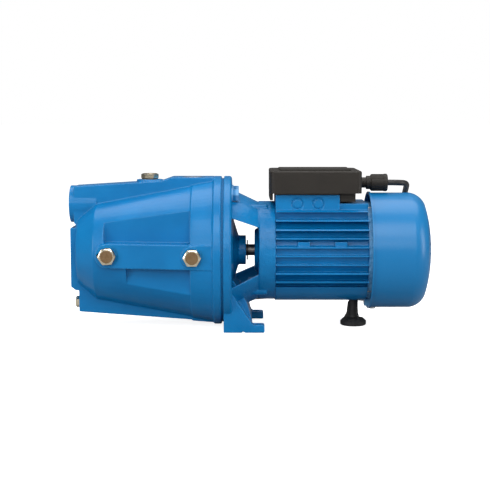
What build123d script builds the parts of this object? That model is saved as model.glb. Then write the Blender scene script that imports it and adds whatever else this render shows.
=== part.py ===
from build123d import *
import math
import os

# Shallow well jet pump, millimetres, +Z up. X runs along the shaft, from the suction end (-X) to the
# fan (+X). The origin is on the floor, midway between the two bolt holes in the feet.

os.makedirs("parts", exist_ok=True)

# ---- driving dimensions ----
shaft_z = 90.5
flange_r = 88.3
body_flange_t = 9.4
bracket_flange_t = 9.3
gasket_t = 2.6
bracket_face_x = -38.5
suction_face_x = -220.7
motor_front_x = 21.8
motor_length = 107.5
motor_r = 60.0
stator_r = 49.0
cowl_r = 68.5
cowl_length = 72.5
sheet_t = 1.2
fit_gap = 0.03
slide_gap = 0.06
air_gap = 0.4

body_rear_x = bracket_face_x - gasket_t
body_flange_x = body_rear_x - body_flange_t
bracket_back_x = bracket_face_x + bracket_flange_t
motor_rear_x = motor_front_x + motor_length
stack_front_x = motor_front_x + 18.2
stack_length = motor_length - 37.5
stack_rear_x = stack_front_x + stack_length
cowl_front_x = motor_rear_x + 3.2
cowl_end_x = cowl_front_x + cowl_length
cowl_bend_x = cowl_front_x + 49.2

# ports and plugs (pipe thread sizes are the tapping radii)
port_r = 15.145
port_thread_l = 18.0
passage_r = 13.0
suction_z = shaft_z + 55.2
suction_boss_r = 22.0
delivery_x = -75.0
delivery_top_z = shaft_z + 87.5
spine_half = 20.5
plug_thread_r = 6.58
plug_thread_l = 11.0
plug_af = 18.0
plug_head_t = 5.6
plug_flange_t = 1.6
washer_t = 1.4
priming_x = -126.7
priming_pad_z = delivery_top_z - 3.0
gauge_front_x = -171.2
gauge_front_y = 67.5
gauge_rear_x = -73.5
gauge_rear_y = 82.5
drain_z = shaft_z - 62.5
drain_thread_r = 4.86
drain_thread_l = 9.0
drain_af = 12.0
drain_head_t = 5.0
drain_face_x = suction_face_x + 10.5

# cast drum of the pump body
drum_front_x = suction_face_x + 10.0
drum_front_r = 42.0
shoulder_x = suction_face_x + 32.0
shoulder_r = 59.5
drum_rear_r = 84.0
collar_x = -76.0
collar_step = 1.3
cavity_front_x = -172.0
cavity_front_r = 56.5
cavity_wide_x = -82.0
cavity_wide_r = 71.5
cavity_rear_r = 69.0
duct_half = 13.0
duct_floor_z = shaft_z - 75.0
duct_roof_z = shaft_z + 75.0
chamber_x = -198.0
chamber_r = 26.0
bulkhead_x = -178.0
feed_x = -208.0
feed_r = 4.5
riser_r = 9.0
feed_z = shaft_z - 40.5

# flange bolts
bolt_pcd = 152.0
bolt_angle = 63.3
bolt_r = 4.0
bolt_hole_r = 4.5
bolt_af = 13.0
bolt_head_t = 6.4
bolt_depth = 18.0
bolt_washer_r = 8.0
bolt_washer_t = 1.6

# lantern bracket
ring_x = 2.2
ring_r = 58.5
lantern_r = 72.8
lantern_wall = 8.0
hub_r = 17.5
hub_end_x = -12.5
bearing_wall_x = -2.3
foot_hole_r = 4.5
foot_spacing = 96.0
prong_w = 16.0
prong_t = 9.0
prong_tip_x = 9.1
spigot_r = 68.95
diffuser_spigot_r = 57.0

# shaft and bearings
shaft_nut_r = 5.0
shaft_wet_r = 6.0
shaft_lantern_r = 6.8
shaft_core_r = 10.0
shaft_fan_r = 6.5
front_bore_r = 8.5
front_outer_r = 20.0
front_width = 12.0
front_x = 5.0
rear_bore_r = 7.5
rear_outer_r = 17.5
rear_width = 11.0
rear_x = motor_rear_x + 1.7
race_t = 3.0
ball_gap = 0.04
rotor_r = 29.1
tie_r = 2.5
tie_radius = 55.2
tie_angles = (66.0, 114.0, -52.0, -128.0)

# terminal box
box_x0 = motor_front_x - 6.5
box_x1 = motor_rear_x - 8.2
box_half = 48.0
box_base_t = 5.0
box_lid_h = 20.8
lid_panel_t = 1.4
lid_panel_inset = 11.5
box_wall = 2.4
box_gasket_t = 2.0
pad_x1 = box_x1 - 25.0
pad_half = 40.0
pad_top_z = shaft_z + max(motor_r + 8.3, cowl_r - 0.2)
box_z0 = pad_top_z + box_gasket_t
box_split_z = box_z0 + box_base_t
box_top_z = box_split_z + box_lid_h
gland_z = box_split_z + 5.2

# mains lead
cord_r = 3.5
coil_centre = (-125.0, 128.0)
coil_inner_r = 31.5
coil_outer_r = 45.5
coil_h = 14.0

shaft_axis = Axis((0, 0, shaft_z), (1, 0, 0))


def turned(outline):
    """Solid turned about the shaft from (station, radius) points."""
    with BuildPart() as solid:
        with BuildSketch(Plane.XZ):
            with BuildLine():
                Polyline(*[(x, shaft_z + r) for x, r in outline], close=True)
            make_face()
        revolve(axis=shaft_axis)
    return solid.part


def ring(x0, x1, outer, inner=0.0):
    """Disc or ring about the shaft between two stations."""
    return turned([(x0, inner), (x0, outer), (x1, outer), (x1, inner)])


def block(x0, x1, y0, y1, z0, z1):
    """Box between opposite faces."""
    with BuildPart() as solid:
        with BuildSketch(Plane.XY.offset(z0)):
            with Locations(((x0 + x1) / 2, (y0 + y1) / 2)):
                Rectangle(x1 - x0, y1 - y0)
        extrude(amount=z1 - z0)
    return solid.part


def side_profile(points, y0, y1):
    """Plate with an outline of (x, z) points, from y0 to y1."""
    with BuildPart() as solid:
        with BuildSketch(Plane.XZ.offset(-y1)):
            with BuildLine():
                Polyline(*points, close=True)
            make_face()
        extrude(amount=y1 - y0)
    return solid.part


def plan_profile(points, z0, z1):
    """Plate with an outline of (x, y) points, from z0 to z1."""
    with BuildPart() as solid:
        with BuildSketch(Plane.XY.offset(z0)):
            with BuildLine():
                Polyline(*points, close=True)
            make_face()
        extrude(amount=z1 - z0)
    return solid.part


def rod_x(x0, x1, y, z, r):
    """Round bar along X."""
    with BuildPart() as solid:
        with BuildSketch(Plane.YZ.offset(x0)):
            with Locations((y, z)):
                Circle(r)
        extrude(amount=x1 - x0)
    return solid.part


def rod_y(y0, y1, x, z, r):
    """Round bar along Y."""
    with BuildPart() as solid:
        with BuildSketch(Plane.XZ.offset(-y1)):
            with Locations((x, z)):
                Circle(r)
        extrude(amount=y1 - y0)
    return solid.part


def rod_z(z0, z1, x, y, r):
    """Round bar along Z."""
    with BuildPart() as solid:
        with BuildSketch(Plane.XY.offset(z0)):
            with Locations((x, y)):
                Circle(r)
        extrude(amount=z1 - z0)
    return solid.part


def write(part, name):
    """Label a finished piece and write its file."""
    part.label = name
    export_step(part, "parts/" + name + ".step")


def cone_r(x):
    """Outer radius of the drum's cone at a station."""
    return shoulder_r + (drum_rear_r - shoulder_r) * (x - shoulder_x) / (body_flange_x - shoulder_x)


def on_circle(radius, angle):
    """Y and Z of a point round the shaft, the angle measured from +Y towards +Z."""
    return (radius * math.cos(math.radians(angle)), shaft_z + radius * math.sin(math.radians(angle)))


bolt_angles = (bolt_angle, 180 - bolt_angle, -bolt_angle, bolt_angle - 180)
bolt_places = [on_circle(bolt_pcd / 2, a) for a in bolt_angles]
tie_places = [on_circle(tie_radius, a) for a in tie_angles]

# ---- pump body: one iron casting with both ports ----
spine_outline = [
    (suction_face_x + 5.8, suction_z - suction_boss_r),
    (suction_face_x + 5.8, suction_z + suction_boss_r - 0.4),
    (delivery_x - 36.3, delivery_top_z - 4.2),
    (delivery_x - 24.7, delivery_top_z),
    (body_flange_x, delivery_top_z),
    (body_flange_x, shaft_z - 84.5),
    (collar_x, shaft_z - 82.5),
    (collar_x, shaft_z - 81.2),
    (drain_face_x, shaft_z - 71.5),
    (drain_face_x, shaft_z - 46.1),
    (suction_face_x + 6.7, shaft_z - 46.1),
    (suction_face_x + 1.0, shaft_z - 41.8),
    (suction_face_x + 1.0, shaft_z + 28.0),
    (suction_face_x + 7.7, shaft_z + 28.0),
    (suction_face_x + 7.7, suction_z - suction_boss_r),
]
facet_upper = [(-176.0, 49.5), (collar_x, 60.2), (collar_x, 95.0), (-176.0, 95.0)]
facet_lower = [(-150.0, 57.5), (collar_x, 65.5), (collar_x, 95.0), (-150.0, 95.0)]
pad_outline = [
    (gauge_front_x, 40.0),
    (gauge_front_x, gauge_front_y - 0.5),
    (gauge_rear_x, gauge_rear_y - 0.6),
    (body_flange_x, 84.5),
    (body_flange_x, 40.0),
]
pad_half_h = 14.0
spot_r = 12.4
cavity_side = [
    (cavity_front_x - 3, 0.0),
    (cavity_front_x - 3, 43.3),
    (collar_x + 4, 54.4),
    (collar_x + 4, 80.0),
    (body_rear_x + 1, 80.0),
    (body_rear_x + 1, 0.0),
]

with BuildPart() as cavity:
    add(turned([
        (cavity_front_x, 0),
        (cavity_front_x, cavity_front_r),
        (cavity_wide_x, cavity_wide_r),
        (collar_x, cavity_rear_r),
        (body_rear_x + 1, cavity_rear_r),
        (body_rear_x + 1, 0),
    ]))
    with BuildSketch(Plane.XY):
        with BuildLine():
            Polyline(*cavity_side, close=True)
        make_face()
        mirror(about=Plane.XZ)
    extrude(amount=2 * shaft_z, mode=Mode.INTERSECT)
    add(block(cavity_front_x + 8, delivery_x - 6, -duct_half, duct_half, duct_floor_z, duct_roof_z))

with BuildPart() as pump_body:
    add(turned([
        (drum_front_x, 0),
        (drum_front_x, drum_front_r),
        (shoulder_x, shoulder_r),
        (body_flange_x, drum_rear_r),
        (body_flange_x, flange_r - 1.0),
        (body_flange_x + 1.0, flange_r),
        (body_rear_x - 1.0, flange_r),
        (body_rear_x, flange_r - 1.0),
        (body_rear_x, 0),
    ]))
    for side in (-1, 1):
        upper = plan_profile([(x, side * y) for x, y in facet_upper], shaft_z, shaft_z + 70)
        lower = plan_profile([(x, side * y) for x, y in facet_lower], shaft_z - 70, shaft_z)
        add(upper, mode=Mode.SUBTRACT)
        add(lower, mode=Mode.SUBTRACT)
    add(turned([
        (collar_x, cavity_rear_r),
        (collar_x, cone_r(collar_x) + collar_step),
        (body_flange_x + 1, drum_rear_r + collar_step),
        (body_flange_x + 1, cavity_rear_r),
    ]))
    add(side_profile(spine_outline, -spine_half, spine_half))
    add(rod_x(suction_face_x, shoulder_x, 0, suction_z, suction_boss_r))
    add(rod_z(shaft_z, priming_pad_z, priming_x, 0, 15.5))
    for side in (-1, 1):
        pad = [(x, side * y) for x, y in pad_outline]
        add(plan_profile(pad, shaft_z - pad_half_h, shaft_z + pad_half_h))
        inner, outer = sorted((side * 40.0, side * gauge_front_y))
        add(rod_y(inner, outer, gauge_front_x, shaft_z, pad_half_h))
        inner, outer = sorted((side * 60.0, side * gauge_rear_y))
        add(rod_y(inner, outer, gauge_rear_x, shaft_z, spot_r))
        for x, y in ((gauge_front_x, gauge_front_y), (gauge_rear_x, gauge_rear_y)):
            inner, outer = sorted((side * y, side * (y + 8.0)))
            add(rod_y(inner, outer, x, shaft_z, spot_r), mode=Mode.SUBTRACT)
    # water ways
    add(cavity.part, mode=Mode.SUBTRACT)
    add(rod_x(suction_face_x - 1, suction_face_x + port_thread_l, 0, suction_z, port_r), mode=Mode.SUBTRACT)
    add(rod_x(suction_face_x, bulkhead_x, 0, suction_z, passage_r), mode=Mode.SUBTRACT)
    add(rod_z(shaft_z, suction_z, (chamber_x + bulkhead_x) / 2, 0, riser_r), mode=Mode.SUBTRACT)
    add(ring(chamber_x, bulkhead_x, chamber_r), mode=Mode.SUBTRACT)
    add(ring(-213.0, -203.0, 13.0), mode=Mode.SUBTRACT)
    add(ring(-203.0, chamber_x, 6.5), mode=Mode.SUBTRACT)
    add(ring(bulkhead_x, cavity_front_x, 13.0), mode=Mode.SUBTRACT)
    add(rod_z(feed_z, shaft_z, feed_x, 0, feed_r), mode=Mode.SUBTRACT)
    add(rod_x(feed_x, cavity_front_x + 2, 0, feed_z, feed_r), mode=Mode.SUBTRACT)
    add(rod_z(delivery_top_z - port_thread_l, delivery_top_z + 1, delivery_x, 0, port_r), mode=Mode.SUBTRACT)
    add(rod_z(shaft_z + 50, delivery_top_z, delivery_x, 0, passage_r), mode=Mode.SUBTRACT)
    add(rod_z(shaft_z + 50, priming_pad_z + 1, priming_x, 0, plug_thread_r), mode=Mode.SUBTRACT)
    add(rod_x(drain_face_x - 1, -108.0, 0, drain_z, drain_thread_r), mode=Mode.SUBTRACT)
    gauge_hole = rod_y(-gauge_front_y - 1, -gauge_front_y + 14, gauge_front_x, shaft_z, plug_thread_r)
    add(gauge_hole, mode=Mode.SUBTRACT)
    add(rod_y(-gauge_front_y, -chamber_r + 6, gauge_front_x - 9.0, shaft_z, 3.0), mode=Mode.SUBTRACT)
    add(rod_y(-gauge_rear_y - 1, -40.0, gauge_rear_x, shaft_z, plug_thread_r), mode=Mode.SUBTRACT)
    for y, z in bolt_places:
        add(rod_x(body_rear_x - bolt_depth - 2, body_rear_x + 1, y, z, bolt_r), mode=Mode.SUBTRACT)
write(pump_body.part, "pump_body")


# ---- brass plugs and their washers ----
def hex_plug(af, head_t, thread_r, thread_l, washer):
    """Plug along +Z with its washer's seat at z = 0: hexagon with a turned chamfer, then the thread."""
    with BuildPart() as plug:
        with BuildSketch(Plane.XY.offset(washer)):
            RegularPolygon(af / 2, 6, major_radius=False)
        extrude(amount=head_t)
        with BuildSketch(Plane.XZ):
            with BuildLine():
                Polyline(
                    (0, washer),
                    (af * 0.6, washer),
                    (af * 0.6, washer + head_t - af * 0.07),
                    (af * 0.46, washer + head_t),
                    (0, washer + head_t),
                    close=True,
                )
            make_face()
        revolve(axis=Axis.Z, mode=Mode.INTERSECT)
        with BuildSketch(Plane.XY.offset(washer)):
            Circle(thread_r)
        extrude(amount=-(thread_l + washer))
    return plug.part


def seal_washer(outer, inner, t):
    """Flat washer along +Z, seated at z = 0."""
    with BuildPart() as washer:
        with BuildSketch():
            Circle(outer)
            Circle(inner, mode=Mode.SUBTRACT)
        extrude(amount=t)
    return washer.part


big_plug = hex_plug(plug_af, plug_head_t, plug_thread_r - slide_gap, plug_thread_l, washer_t)
big_washer = seal_washer(plug_af * 0.53, plug_thread_r - slide_gap, washer_t)
small_plug = hex_plug(drain_af, drain_head_t, drain_thread_r - slide_gap, drain_thread_l, washer_t)
small_washer = seal_washer(drain_af * 0.56, drain_thread_r - slide_gap, washer_t)
priming_seat = Location((priming_x, 0, priming_pad_z))
gauge_front_seat = Location((gauge_front_x, -gauge_front_y, shaft_z), (90, 0, 4))
gauge_rear_seat = Location((gauge_rear_x, -gauge_rear_y, shaft_z), (90, 0, 0))
drain_seat = Location((drain_face_x, 0, drain_z), (0, -90, 0))
write(big_plug.moved(priming_seat), "priming_plug")
write(big_washer.moved(priming_seat), "priming_plug_washer")
write(Compound([big_plug.moved(gauge_front_seat), big_plug.moved(gauge_rear_seat)]), "gauge_plugs")
write(Compound([big_washer.moved(gauge_front_seat), big_washer.moved(gauge_rear_seat)]), "gauge_plug_washers")
write(small_plug.moved(drain_seat), "drain_plug")
write(small_washer.moved(drain_seat), "drain_plug_washer")

# ---- ejector: nozzle and venturi tube, moulded, each on its own ring ----
nozzle_seat_r = 6.5
nozzle_ring_t = 1.0
write(turned([
    (-204.0, 4.5),
    (-204.0, nozzle_seat_r - fit_gap),
    (chamber_x + nozzle_ring_t, nozzle_seat_r - fit_gap),
    (chamber_x + nozzle_ring_t, 9.0),
    (chamber_x + nozzle_ring_t + 3.0, 9.0),
    (chamber_x + nozzle_ring_t + 3.0, 6.3),
    (-182.0, 4.2),
    (-182.0, 2.6),
]), "ejector_nozzle")
write(ring(chamber_x, chamber_x + nozzle_ring_t, 8.8, nozzle_seat_r), "nozzle_ring")

venturi_rear_x = -72.0
write(turned([
    (bulkhead_x, 10.8),
    (bulkhead_x, 12.97),
    (cavity_front_x + 1.0, 12.97),
    (cavity_front_x + 1.0, 17.0),
    (cavity_front_x + 4.0, 17.0),
    (cavity_front_x + 6.0, 12.5),
    (-158.0, 8.0),
    (-115.0, 9.0),
    (venturi_rear_x - 8.0, 12.0),
    (venturi_rear_x, 12.0),
    (venturi_rear_x, 9.8),
    (-158.0, 5.4),
]), "venturi_tube")
write(ring(cavity_front_x, cavity_front_x + 1.0, 16.6, 13.0), "venturi_ring")

# ---- diffuser: bowl round the impeller, with six guide vanes outside ----
impeller_r = 52.0
vane_count = 6
diffuser_wall_x = venturi_rear_x + 4.0
diffuser_rear_x = bracket_face_x - 4.5
neck_r = 16.5
with BuildPart() as diffuser:
    add(turned([
        (venturi_rear_x - 8.0, 12.0 + fit_gap),
        (venturi_rear_x - 8.0, 15.5),
        (venturi_rear_x - 0.6, 18.5),
        (venturi_rear_x + 0.5, 20.0),
        (venturi_rear_x + 0.5, 58.0),
        (venturi_rear_x + 2.5, 60.0),
        (diffuser_rear_x, 60.0),
        (diffuser_rear_x, diffuser_spigot_r),
        (diffuser_wall_x, diffuser_spigot_r),
        (diffuser_wall_x, neck_r + 0.3),
        (venturi_rear_x, neck_r + 0.3),
        (venturi_rear_x, 12.0 + fit_gap),
    ]))
    with BuildSketch(Plane.YZ.offset(diffuser_wall_x)):
        with Locations((0, shaft_z)):
            with PolarLocations(62.0, 6):
                Rectangle(6.0, 2.4)
    extrude(amount=20)
write(diffuser.part, "diffuser")

# ---- impeller: closed wheel with six backward curved vanes, nut and washer ----
eye_r = 14.0
shroud_front_x = -64.0
shroud_back_x = -51.0
shroud_t = 2.5
hub_front_x = -57.0
hub_back_x = -46.5
with BuildPart() as impeller:
    add(ring(shroud_front_x, shroud_front_x + shroud_t, impeller_r, eye_r))
    add(ring(shroud_front_x - 6.0, shroud_front_x, neck_r, eye_r))
    add(ring(shroud_back_x - shroud_t, shroud_back_x, impeller_r, shaft_wet_r + fit_gap))
    add(ring(hub_front_x, hub_back_x, 11.0, shaft_wet_r + fit_gap))
    for vane in range(vane_count):
        turn = math.radians(vane * 360 / vane_count)
        vane_plane = Plane(
            origin=(shroud_front_x + 1.0, 0, shaft_z),
            x_dir=(0, math.cos(turn), math.sin(turn)),
            z_dir=(1, 0, 0),
        )
        with BuildSketch(vane_plane):
            with BuildLine():
                belly = ThreePointArc((17.0, 0.0), (32.0, 10.0), (42.0, 27.0))
                tip = Line(belly @ 1, (40.4, 28.4))
                back = ThreePointArc(tip @ 1, (30.6, 11.8), (16.5, 2.2))
                Line(back @ 1, belly @ 0)
            make_face()
        extrude(amount=shroud_back_x - shroud_front_x - 2.0)
write(impeller.part, "impeller")

nut_washer_t = 1.0
write(ring(hub_front_x - nut_washer_t, hub_front_x, 9.5, shaft_nut_r + 0.1), "impeller_washer")
with BuildPart() as impeller_nut:
    with BuildSketch(Plane.YZ.offset(hub_front_x - nut_washer_t - 8.0)):
        with Locations((0, shaft_z)):
            RegularPolygon(8.0, 6, major_radius=False)
            Circle(shaft_nut_r + fit_gap, mode=Mode.SUBTRACT)
    extrude(amount=8.0)
write(impeller_nut.part, "impeller_nut")

# ---- mechanical seal between impeller and bracket ----
seal_seat_x = -34.0
seal_head_x = -39.5
wire_r = 0.6
write(ring(seal_seat_x, seal_seat_x + 5.5, 13.5, 7.4), "seal_fixed_seat")
write(turned([
    (seal_head_x, shaft_wet_r + fit_gap),
    (seal_head_x, 11.5),
    (seal_seat_x - 1.5, 11.5),
    (seal_seat_x - 1.5, 10.0),
    (seal_seat_x, 10.0),
    (seal_seat_x, shaft_wet_r + fit_gap),
]), "seal_rotating_head")
spring_room = seal_head_x - hub_back_x
with BuildPart() as seal_spring:
    with BuildLine():
        spring_turns = Helix(pitch=1.8, height=spring_room - 2 * wire_r - 0.4, radius=9.2)
    with BuildSketch(Plane(origin=spring_turns @ 0, z_dir=spring_turns % 0)):
        Circle(wire_r)
    sweep()
spring_place = Location((hub_back_x + wire_r + 0.2, 0, shaft_z), (0, 90, 0))
write(seal_spring.part.moved(spring_place), "seal_spring")

# ---- body gasket ----
with BuildPart() as body_gasket:
    add(ring(body_rear_x, bracket_face_x, flange_r - 2.6, cavity_rear_r + 0.5))
    for y, z in bolt_places:
        add(rod_x(body_rear_x - 1, bracket_face_x + 1, y, z, bolt_hole_r), mode=Mode.SUBTRACT)
write(body_gasket.part, "body_gasket")

# ---- lantern bracket: flange, seal housing, two arms, bearing housing and both feet in one casting ----
wall_back_x = bracket_back_x
web_half = 40.0
web_floor_z = 8.0
prong_y = foot_spacing / 2
window = [
    (wall_back_x, shaft_z + 42.5),
    (ring_x, shaft_z + 30.8),
    (ring_x, shaft_z - 23.4),
    (wall_back_x, shaft_z - 38.2),
]
with BuildPart() as lantern_bracket:
    add(turned([
        (bracket_face_x, 0),
        (bracket_face_x, flange_r - 0.8),
        (bracket_face_x + 0.8, flange_r),
        (bracket_back_x - 2.0, flange_r),
        (bracket_back_x, flange_r - 2.0),
        (bracket_back_x, 0),
    ]))
    add(turned([
        (bracket_back_x - 1, lantern_r - lantern_wall),
        (bracket_back_x - 1, lantern_r),
        (ring_x + 1, ring_r - 1.6),
        (ring_x + 1, ring_r - 1.6 - lantern_wall),
    ]))
    for y, z in tie_places:
        add(rod_x(-10.0, 12.0, y, z, 6.0))
    add(side_profile(window, -80.0, 80.0), mode=Mode.SUBTRACT)
    # bearing housing and motor-side ring
    add(turned([
        (ring_x, 0),
        (ring_x, ring_r - 1.0),
        (ring_x + 1.0, ring_r),
        (motor_front_x, ring_r),
        (motor_front_x, 0),
    ]))
    add(turned([
        (bearing_wall_x, 0),
        (bearing_wall_x, 24.0),
        (ring_x + 1, 28.0),
        (ring_x + 1, 0),
    ]))
    # seal housing
    add(turned([
        (wall_back_x - 1, 0),
        (wall_back_x - 1, 60.0),
        (wall_back_x, 60.0),
        (-26.8, 35.0),
        (-21.3, hub_r),
        (hub_end_x, hub_r),
        (hub_end_x, 0),
    ]))
    # centring spigots for body and diffuser
    add(ring(bracket_face_x - 4.0, bracket_face_x + 1, spigot_r, 50.0))
    add(ring(bracket_face_x - 8.5, bracket_face_x - 3.0, diffuser_spigot_r - fit_gap, 50.0))
    add(ring(seal_seat_x - 8.0, bracket_face_x + 3, 20.0, 13.5))
    # feet
    for side in (-1, 1):
        y0, y1 = sorted((side * (prong_y - prong_w / 2), side * (prong_y + prong_w / 2)))
        add(side_profile([
            (bracket_face_x, 0.0),
            (bracket_face_x, shaft_z - 28.5),
            (bracket_back_x, shaft_z - 28.5),
            (bracket_back_x, shaft_z - 45.5),
            (-4.5, prong_t),
            (prong_tip_x - 1.5, prong_t),
            (prong_tip_x, prong_t - 1.5),
            (prong_tip_x, 1.0),
            (prong_tip_x - 1.0, 0.0),
        ], y0, y1))
    add(side_profile([
        (bracket_face_x, web_floor_z),
        (bracket_face_x, shaft_z - 28.5),
        (bracket_back_x, shaft_z - 28.5),
        (-12.0, shaft_z - 56.5),
        (-9.7, shaft_z - 63.5),
        (-5.0, web_floor_z),
    ], -web_half - 1, web_half + 1))
    # hollows
    add(ring(bracket_face_x - 9, bracket_face_x + 5, 50.0, 20.0), mode=Mode.SUBTRACT)
    add(ring(seal_seat_x - 9, seal_seat_x + 5.5, 13.5), mode=Mode.SUBTRACT)
    add(ring(seal_seat_x, 0, 8.0), mode=Mode.SUBTRACT)
    add(ring(bearing_wall_x - 1, front_x, front_bore_r + 1.0), mode=Mode.SUBTRACT)
    add(ring(front_x, motor_front_x + 1, front_outer_r + fit_gap), mode=Mode.SUBTRACT)
    add(ring(8.0, motor_front_x + 1, 47.0, 27.0), mode=Mode.SUBTRACT)
    add(side_profile([
        (bracket_face_x + 7, 7.0),
        (bracket_face_x + 7, 20.0),
        (-16.0, 20.0),
        (-11.0, 7.0),
    ], -web_half + 6, web_half - 6), mode=Mode.SUBTRACT)
    add(ring(motor_front_x - 1, motor_front_x + 3.2, stator_r - fit_gap, 46.0))
    for side in (-1, 1):
        add(rod_z(-1, prong_t + 1, 0, side * prong_y, foot_hole_r), mode=Mode.SUBTRACT)
        y0, y1 = sorted((side * 39.0, side * 57.0))
        add(block(-17.5, -13.8, y0, y1, -1.0, 1.0), mode=Mode.SUBTRACT)
    for y, z in bolt_places:
        add(rod_x(bracket_face_x - 1, bracket_back_x + 1, y, z, bolt_hole_r), mode=Mode.SUBTRACT)
        add(rod_x(bracket_back_x, bracket_back_x + 9.5, y, z, bolt_washer_r + 0.6), mode=Mode.SUBTRACT)
    for y, z in tie_places:
        add(rod_x(motor_front_x - 15, motor_front_x + 4, y, z, tie_r), mode=Mode.SUBTRACT)
write(lantern_bracket.part, "lantern_bracket")


# ---- flange bolts and washers ----
def hex_bolt_x(x_seat, x_tip, y, z, af, head_t, r):
    """Bolt along X: head to the +X side of its seat, shank to the tip."""
    with BuildPart() as bolt:
        with BuildSketch(Plane.YZ.offset(x_seat)):
            with Locations((y, z)):
                RegularPolygon(af / 2, 6, major_radius=False)
        extrude(amount=head_t)
        with BuildSketch(Plane.YZ.offset(x_seat)):
            with Locations((y, z)):
                Circle(r)
        extrude(amount=x_tip - x_seat)
    return bolt.part


bolt_seat_x = bracket_back_x + bolt_washer_t
bolt_tip_x = body_rear_x - bolt_depth
bolts = [
    hex_bolt_x(bolt_seat_x, bolt_tip_x, y, z, bolt_af, bolt_head_t, bolt_r - fit_gap)
    for y, z in bolt_places
]
write(Compound(bolts), "body_bolts")


def washer_x(x0, t, y, z, outer, inner):
    """Flat washer along X."""
    with BuildPart() as washer:
        with BuildSketch(Plane.YZ.offset(x0)):
            with Locations((y, z)):
                Circle(outer)
                Circle(inner, mode=Mode.SUBTRACT)
        extrude(amount=t)
    return washer.part


bolt_washers = [
    washer_x(bracket_back_x, bolt_washer_t, y, z, bolt_washer_r, bolt_r + 0.3) for y, z in bolt_places
]
write(Compound(bolt_washers), "body_bolt_washers")

# ---- shaft, slinger, rotor ----
shaft_tip_x = hub_front_x - 11.0
shaft_end_x = cowl_end_x - 29.0
write(turned([
    (shaft_tip_x, 0),
    (shaft_tip_x, shaft_nut_r - 0.6),
    (shaft_tip_x + 0.6, shaft_nut_r),
    (hub_front_x, shaft_nut_r),
    (hub_front_x, shaft_wet_r),
    (-30.0, shaft_wet_r),
    (-30.0, shaft_lantern_r),
    (front_x - 2.0, shaft_lantern_r),
    (front_x - 2.0, front_bore_r),
    (front_x + front_width, front_bore_r),
    (front_x + front_width, shaft_core_r),
    (rear_x - 4.0, shaft_core_r),
    (rear_x - 4.0, rear_bore_r + 1.2),
    (rear_x, rear_bore_r + 1.2),
    (rear_x, rear_bore_r),
    (rear_x + rear_width, rear_bore_r),
    (rear_x + rear_width, shaft_fan_r),
    (shaft_end_x - 0.8, shaft_fan_r),
    (shaft_end_x, shaft_fan_r - 0.8),
    (shaft_end_x, 0),
]), "shaft")
write(ring(hub_end_x + 0.8, hub_end_x + 2.3, 12.0, shaft_lantern_r + fit_gap), "slinger_ring")

bar_r = 1.9
bar_circle = 25.6
with BuildPart() as rotor_core:
    add(ring(stack_front_x, stack_rear_x, rotor_r, shaft_core_r + fit_gap))
    with BuildSketch(Plane.YZ.offset(stack_front_x)):
        with Locations((0, shaft_z)):
            with PolarLocations(bar_circle, 18):
                Circle(bar_r)
    extrude(amount=stack_length, mode=Mode.SUBTRACT)
write(rotor_core.part, "rotor_core")

end_ring_t = 6.0
with BuildPart() as rotor_cage:
    add(ring(stack_front_x - end_ring_t, stack_front_x, 28.4, 20.0))
    add(ring(stack_rear_x, stack_rear_x + end_ring_t, 28.4, 20.0))
    with BuildSketch(Plane.YZ.offset(stack_front_x - 1)):
        with Locations((0, shaft_z)):
            with PolarLocations(bar_circle, 18):
                Circle(bar_r - fit_gap)
    extrude(amount=stack_length + 2)
    with BuildSketch(Plane.YZ.offset(stack_rear_x + end_ring_t)):
        with Locations((0, shaft_z)):
            with PolarLocations(24.2, 6):
                Rectangle(7.0, 1.6)
    extrude(amount=5.0)
write(rotor_cage.part, "rotor_cage")

# ---- stator: laminated core with 24 slots, and the winding that lies in them ----
slot_count = 24
slot_depth_r = 43.5
bore_r = rotor_r + air_gap
with BuildPart() as stator_core:
    add(ring(stack_front_x, stack_rear_x, stator_r, bore_r))
    with BuildSketch(Plane.YZ.offset(stack_front_x)):
        with Locations((0, shaft_z)):
            with PolarLocations(38.0, slot_count):
                Rectangle(11.0, 4.4)
            with PolarLocations(31.5, slot_count):
                Rectangle(6.0, 1.6)
    extrude(amount=stack_length, mode=Mode.SUBTRACT)
write(stator_core.part, "stator_core")

winding_x0 = motor_front_x + 5.2
winding_x1 = motor_rear_x - 6.3
with BuildPart() as stator_winding:
    for x0, x1 in ((winding_x0, stack_front_x - 0.5), (stack_rear_x + 0.5, winding_x1)):
        add(turned([
            (x0, 36.0),
            (x0 + 1.5, 33.4),
            (x1, 33.4),
            (x1, 44.5),
            (x0 + 2.5, 44.5),
            (x0, 41.5),
        ]))
    with BuildSketch(Plane.YZ.offset(stack_front_x - 1)):
        with Locations((0, shaft_z)):
            with PolarLocations(38.0, slot_count):
                Rectangle(9.0, 4.0)
    extrude(amount=stack_length + 2)
write(stator_winding.part, "stator_winding")

# ---- motor housing: finned aluminium barrel with the terminal seat on top ----
fin_top = 49.3
fin_pitch = 10.1
fin_count = 9
fin_t = 1.9
barrel_r = 53.5
belly_z = 38.6
housing_bore = stator_r + fit_gap
foot_x = motor_rear_x - 12.8
foot_top_z = shaft_z - motor_r
foot_thread_r = 2.97
with BuildPart() as envelope:
    add(ring(motor_front_x, motor_rear_x, 66.0))
    add(block(motor_front_x, motor_rear_x, -motor_r, motor_r, 0, 2 * shaft_z), mode=Mode.INTERSECT)
with BuildPart() as fins:
    for level in range(fin_count):
        z = shaft_z + fin_top - level * fin_pitch
        add(block(motor_front_x, motor_rear_x, -80.0, 80.0, z - fin_t / 2, z + fin_t / 2))
    add(envelope.part, mode=Mode.INTERSECT)
with BuildPart() as belly:
    add(ring(motor_front_x, motor_rear_x, motor_r))
    add(block(motor_front_x, motor_rear_x, -80, 80, 0, shaft_z - belly_z), mode=Mode.INTERSECT)
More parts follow.
